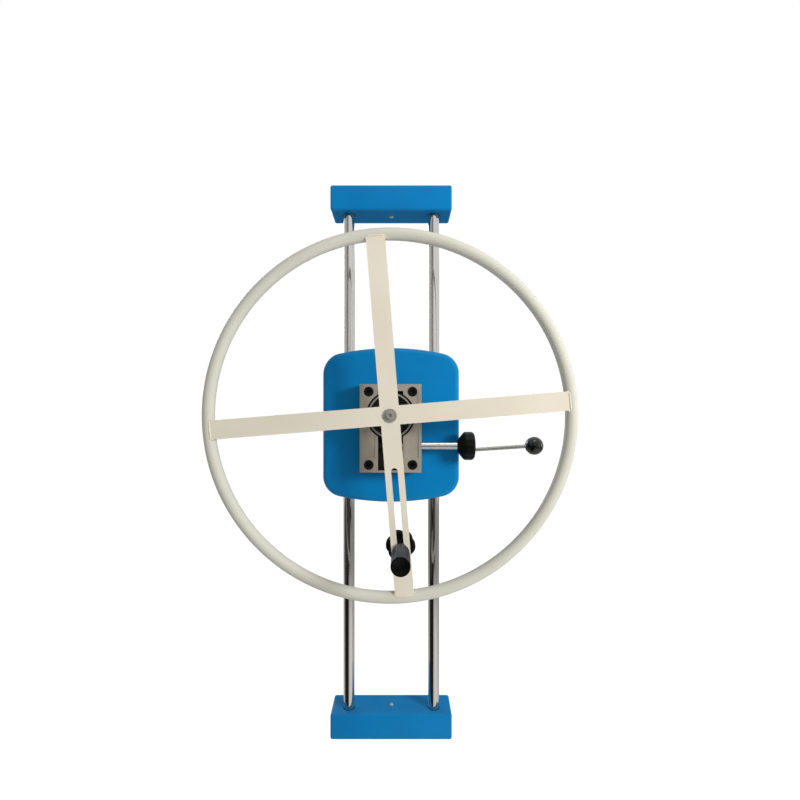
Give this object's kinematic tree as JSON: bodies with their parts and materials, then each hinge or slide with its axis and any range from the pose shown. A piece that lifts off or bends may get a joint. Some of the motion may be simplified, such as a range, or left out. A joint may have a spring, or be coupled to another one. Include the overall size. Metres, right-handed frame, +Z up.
{
  "type": "wall shoulder wheel",
  "caption": "Wall shoulder wheel: a spoked hand wheel with a sliding handle and an adjustable brake, on a carriage that slides on upright rails.",
  "frame": {"origin": "middle of the rectangle of the four wall bolt holes, on the wall plane", "axes": "+X to the right as the user faces the wheel, +Y into the wall, +Z up along the rails"},
  "size_m": [0.75, 0.3266, 1.23],
  "materials": {
    "blue_shell": "glossy moulded shell",
    "ivory_paint": "semi-gloss powder coat",
    "chrome": "polished chrome plate",
    "housing_metal": "satin machined",
    "black_plastic": "semi-matt moulded",
    "black_steel": "black oxide",
    "plate_steel": "grey primer",
    "bright_steel": "zinc plate",
    "guide_metal": "machined",
    "nylon": "natural nylon",
    "brass": "turned",
    "lining": "woven friction lining"
  },
  "bodies": {
    "wall_frame": {"top_wall_bracket": "plate_steel", "bottom_wall_bracket": "plate_steel", "rail_sockets": "plate_steel", "socket_grub_screws": "black_steel", "left_rail": "chrome", "right_rail": "chrome", "top_end_cover": "blue_shell", "bottom_end_cover": "blue_shell", "end_cover_screws": "bright_steel"},
    "carriage": {"carriage_plate": "plate_steel", "guide_blocks": "guide_metal", "slide_bushes": "nylon", "plate_screws": "black_steel", "carriage_cover": "blue_shell", "brake_housing": "housing_metal", "housing_screws": "black_steel", "bearing_housing": "guide_metal", "bearing_housing_screws": "black_steel", "bearing_outer_races": "bright_steel", "brake_band": "black_steel", "brake_lining": "lining", "band_anchor_screw": "black_steel", "band_anchor_sleeve": "black_steel", "band_anchor_nut": "black_steel", "rail_clamp_block": "bright_steel", "clamp_nut": "bright_steel", "damping_thread_bush": "brass"},
    "wheel": {"wheel_rim": "ivory_paint", "vertical_spoke": "ivory_paint", "left_spoke": "ivory_paint", "right_spoke": "ivory_paint", "hub_boss": "ivory_paint", "spindle": "bright_steel", "spindle_key": "bright_steel", "brake_drum": "bright_steel", "hub_bolt": "bright_steel", "hub_washer": "bright_steel", "bearing_inner_races": "bright_steel", "bearing_balls": "chrome", "bearing_spacer": "bright_steel", "spindle_circlip": "black_steel"},
    "handle": {"handle_stud": "black_steel", "stud_collar": "black_steel", "grip_washer": "bright_steel", "grip_screw": "black_steel"},
    "grip": {"handle_grip": "black_plastic", "grip_bush": "nylon", "grip_end_cap": "black_plastic"},
    "star_washer": {"star_knob_washer": "bright_steel"},
    "star_knob": {"star_knob": "black_plastic", "star_knob_insert": "brass"},
    "pressure_pad": {"pressure_pad": "black_steel"},
    "damping_knob": {"damping_screw": "chrome", "damping_knob": "black_plastic"},
    "clamp_lever": {"clamp_screw": "black_steel", "lever_hub": "black_steel", "lever_rod": "chrome", "lever_ball": "black_plastic"}
  },
  "joints": [
    {"name": "carriage_slide", "type": "slide", "parent": "wall_frame", "child": "carriage", "axis": [0, 0, 1], "range_m": [-0.465, 0.3]},
    {"name": "wheel_spin", "type": "hinge", "parent": "carriage", "child": "wheel", "pos_m": [0, -0.19, 0.104], "axis": [0, 1, 0], "continuous": true},
    {"name": "handle_slide", "type": "slide", "parent": "wheel", "child": "handle", "axis": [0.0811, 0, -0.9967], "range_m": [-0.1515, 0.0165]},
    {"name": "grip_spin", "type": "hinge", "parent": "handle", "child": "grip", "pos_m": [0.02124, -0.28, -0.15714], "axis": [0, 1, 0], "continuous": true},
    {"name": "star_washer_slide", "type": "slide", "parent": "handle", "child": "star_washer", "axis": [0, 1, 0], "range_m": [0, 0.00351]},
    {"name": "star_knob_turn", "type": "hinge", "parent": "star_washer", "child": "star_knob", "pos_m": [0.02124, -0.18, -0.15714], "axis": [0, 1, 0], "range_deg": [0, 720]},
    {"name": "pad_slide", "type": "slide", "parent": "carriage", "child": "pressure_pad", "axis": [1, 0, 0], "range_m": [0, 0.00351]},
    {"name": "damping_turn", "type": "hinge", "parent": "pressure_pad", "child": "damping_knob", "pos_m": [0.1, -0.11996, 0.039], "axis": [1, 0, 0], "range_deg": [0, 720]},
    {"name": "clamp_lever_turn", "type": "hinge", "parent": "carriage", "child": "clamp_lever", "pos_m": [0.12896, -0.07288, 0.024], "axis": [0, 1, 0], "range_deg": [-45, 15]}
  ],
  "couplings": [
    {"joint": "star_washer_slide", "follows": "star_knob_turn", "m_per_rad": 0.00027852},
    {"joint": "pad_slide", "follows": "damping_turn", "m_per_rad": 0.00027852}
  ]
}
